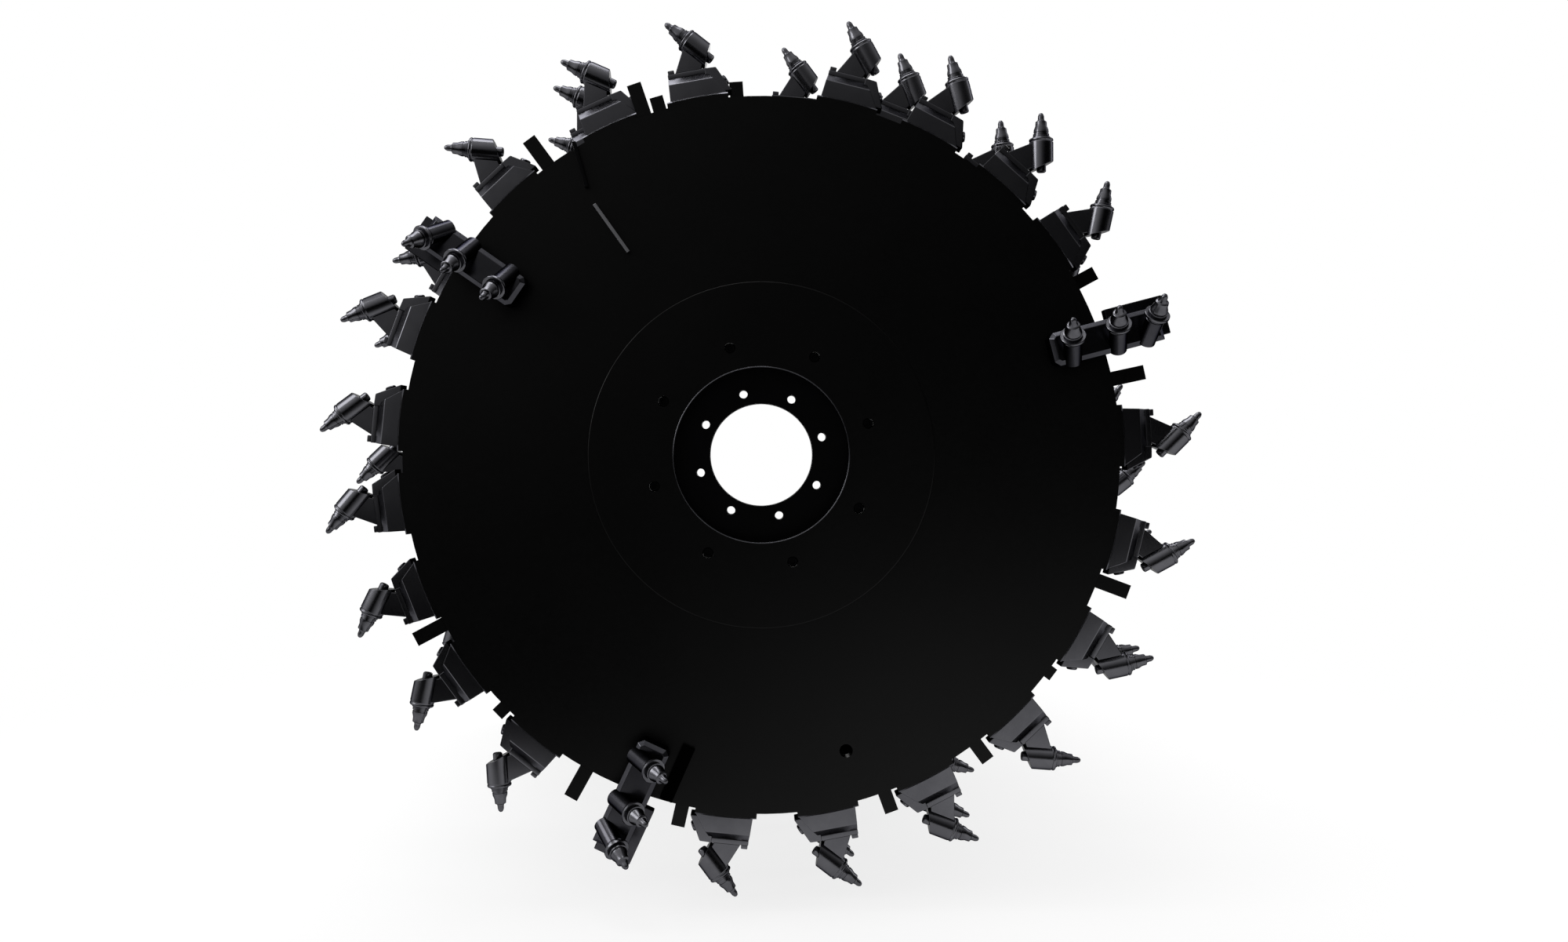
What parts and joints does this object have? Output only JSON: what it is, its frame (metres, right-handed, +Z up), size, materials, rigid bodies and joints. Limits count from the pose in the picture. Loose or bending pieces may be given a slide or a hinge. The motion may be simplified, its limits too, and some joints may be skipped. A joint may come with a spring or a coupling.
{
  "type": "reclaimer cutting drum",
  "caption": "Cutting drum of a road reclaimer: a steel shell with bolted end flanges, ringed by forward-leaning pick holders, with side cutter bars whose round picks turn.",
  "frame": {"origin": "centre of the bearing flange's outer face, on the drum's axis", "axes": "Y along the drum's axis from the bearing end to the drive end, Z up, X to the right as seen from the bearing end; the drum cuts turning from +X towards +Z"},
  "size_m": [1.5046, 2.2092, 1.5037],
  "materials": {
    "black_paint": "satin",
    "pick_steel": "satin",
    "machined_steel": "satin"
  },
  "bodies": {
    "drum": {"bearing_end_plate": "black_paint", "bearing_face_strips": "black_paint", "bearing_flange": "machined_steel", "bearing_hub_ring": "black_paint", "bearing_rim_tabs": "black_paint", "bearing_ring_tool_bases": "black_paint", "bearing_ring_tool_holders": "black_paint", "bearing_ring_tool_picks": "pick_steel", "bearing_row_tool_bases": "black_paint", "bearing_row_tool_holders": "black_paint", "bearing_row_tool_picks": "pick_steel", "bearing_side_bar_1": "black_paint", "bearing_side_bar_2": "black_paint", "bearing_side_bar_3": "black_paint", "drive_end_plate": "black_paint", "drive_rim_tabs": "black_paint", "drive_ring": "machined_steel", "drive_ring_tool_bases": "black_paint", "drive_ring_tool_holders": "black_paint", "drive_ring_tool_picks": "pick_steel", "drive_row_tool_bases": "black_paint", "drive_row_tool_holders": "black_paint", "drive_row_tool_picks": "pick_steel", "drive_side_bar_1": "black_paint", "drive_side_bar_2": "black_paint", "drive_side_bar_3": "black_paint", "drum_shell": "black_paint", "middle_tool_bases": "black_paint", "middle_tool_holders": "black_paint", "middle_tool_picks": "pick_steel"},
    "bearing_side_pick_1_1": {"bearing_side_pick_1_1": "pick_steel"},
    "drive_side_pick_1_1": {"drive_side_pick_1_1": "pick_steel"},
    "bearing_side_pick_1_2": {"bearing_side_pick_1_2": "pick_steel"},
    "drive_side_pick_1_2": {"drive_side_pick_1_2": "pick_steel"},
    "bearing_side_pick_1_3": {"bearing_side_pick_1_3": "pick_steel"},
    "drive_side_pick_1_3": {"drive_side_pick_1_3": "pick_steel"},
    "bearing_side_pick_2_1": {"bearing_side_pick_2_1": "pick_steel"},
    "drive_side_pick_2_1": {"drive_side_pick_2_1": "pick_steel"},
    "bearing_side_pick_2_2": {"bearing_side_pick_2_2": "pick_steel"},
    "drive_side_pick_2_2": {"drive_side_pick_2_2": "pick_steel"},
    "bearing_side_pick_2_3": {"bearing_side_pick_2_3": "pick_steel"},
    "drive_side_pick_2_3": {"drive_side_pick_2_3": "pick_steel"},
    "bearing_side_pick_3_1": {"bearing_side_pick_3_1": "pick_steel"},
    "drive_side_pick_3_1": {"drive_side_pick_3_1": "pick_steel"},
    "bearing_side_pick_3_2": {"bearing_side_pick_3_2": "pick_steel"},
    "drive_side_pick_3_2": {"drive_side_pick_3_2": "pick_steel"},
    "bearing_side_pick_3_3": {"bearing_side_pick_3_3": "pick_steel"},
    "drive_side_pick_3_3": {"drive_side_pick_3_3": "pick_steel"}
  },
  "joints": [
    {"name": "bearing_side_pick_1_1_spin", "type": "hinge", "parent": "drum", "child": "bearing_side_pick_1_1", "pos_m": [0.50091, -0.09564, 0.18887], "axis": [-0.1609, -0.766, 0.6223], "continuous": true},
    {"name": "drive_side_pick_1_1_spin", "type": "hinge", "parent": "drum", "child": "drive_side_pick_1_1", "pos_m": [0.50091, 2.04564, 0.18887], "axis": [-0.1609, 0.766, 0.6223], "continuous": true},
    {"name": "bearing_side_pick_1_2_spin", "type": "hinge", "parent": "drum", "child": "bearing_side_pick_1_2", "pos_m": [0.57449, -0.09564, 0.2079], "axis": [-0.1609, -0.766, 0.6223], "continuous": true},
    {"name": "drive_side_pick_1_2_spin", "type": "hinge", "parent": "drum", "child": "drive_side_pick_1_2", "pos_m": [0.57449, 2.04564, 0.2079], "axis": [-0.1609, 0.766, 0.6223], "continuous": true},
    {"name": "bearing_side_pick_1_3_spin", "type": "hinge", "parent": "drum", "child": "bearing_side_pick_1_3", "pos_m": [0.63594, -0.09341, 0.22379], "axis": [0.1169, -0.7103, 0.6942], "continuous": true},
    {"name": "drive_side_pick_1_3_spin", "type": "hinge", "parent": "drum", "child": "drive_side_pick_1_3", "pos_m": [0.63594, 2.04341, 0.22379], "axis": [0.1169, 0.7103, 0.6942], "continuous": true},
    {"name": "bearing_side_pick_2_1_spin", "type": "hinge", "parent": "drum", "child": "bearing_side_pick_2_1", "pos_m": [-0.42824, -0.09564, 0.27023], "axis": [-0.3659, -0.766, -0.5285], "continuous": true},
    {"name": "drive_side_pick_2_1_spin", "type": "hinge", "parent": "drum", "child": "drive_side_pick_2_1", "pos_m": [-0.42824, 2.04564, 0.27023], "axis": [-0.3659, 0.766, -0.5285], "continuous": true},
    {"name": "bearing_side_pick_2_2_spin", "type": "hinge", "parent": "drum", "child": "bearing_side_pick_2_2", "pos_m": [-0.49073, -0.09564, 0.31349], "axis": [-0.3659, -0.766, -0.5285], "continuous": true},
    {"name": "drive_side_pick_2_2_spin", "type": "hinge", "parent": "drum", "child": "drive_side_pick_2_2", "pos_m": [-0.49073, 2.04564, 0.31349], "axis": [-0.3659, 0.766, -0.5285], "continuous": true},
    {"name": "bearing_side_pick_2_3_spin", "type": "hinge", "parent": "drum", "child": "bearing_side_pick_2_3", "pos_m": [-0.54292, -0.09341, 0.34963], "axis": [-0.6019, -0.7103, -0.3651], "continuous": true},
    {"name": "drive_side_pick_2_3_spin", "type": "hinge", "parent": "drum", "child": "drive_side_pick_2_3", "pos_m": [-0.54292, 2.04341, 0.34963], "axis": [-0.6019, 0.7103, -0.3651], "continuous": true},
    {"name": "bearing_side_pick_3_1_spin", "type": "hinge", "parent": "drum", "child": "bearing_side_pick_3_1", "pos_m": [-0.17492, -0.09564, -0.50585], "axis": [0.583, -0.766, -0.2706], "continuous": true},
    {"name": "drive_side_pick_3_1_spin", "type": "hinge", "parent": "drum", "child": "drive_side_pick_3_1", "pos_m": [-0.17492, 2.04564, -0.50585], "axis": [0.583, 0.766, -0.2706], "continuous": true},
    {"name": "bearing_side_pick_3_2_spin", "type": "hinge", "parent": "drum", "child": "bearing_side_pick_3_2", "pos_m": [-0.20691, -0.09564, -0.57479], "axis": [0.583, -0.766, -0.2706], "continuous": true},
    {"name": "drive_side_pick_3_2_spin", "type": "hinge", "parent": "drum", "child": "drive_side_pick_3_2", "pos_m": [-0.20691, 2.04564, -0.57479], "axis": [0.583, 0.766, -0.2706], "continuous": true},
    {"name": "bearing_side_pick_3_3_spin", "type": "hinge", "parent": "drum", "child": "bearing_side_pick_3_3", "pos_m": [-0.23364, -0.09341, -0.63236], "axis": [0.4622, -0.7103, -0.5309], "continuous": true},
    {"name": "drive_side_pick_3_3_spin", "type": "hinge", "parent": "drum", "child": "drive_side_pick_3_3", "pos_m": [-0.23364, 2.04341, -0.63236], "axis": [0.4622, 0.7103, -0.5309], "continuous": true}
  ]
}
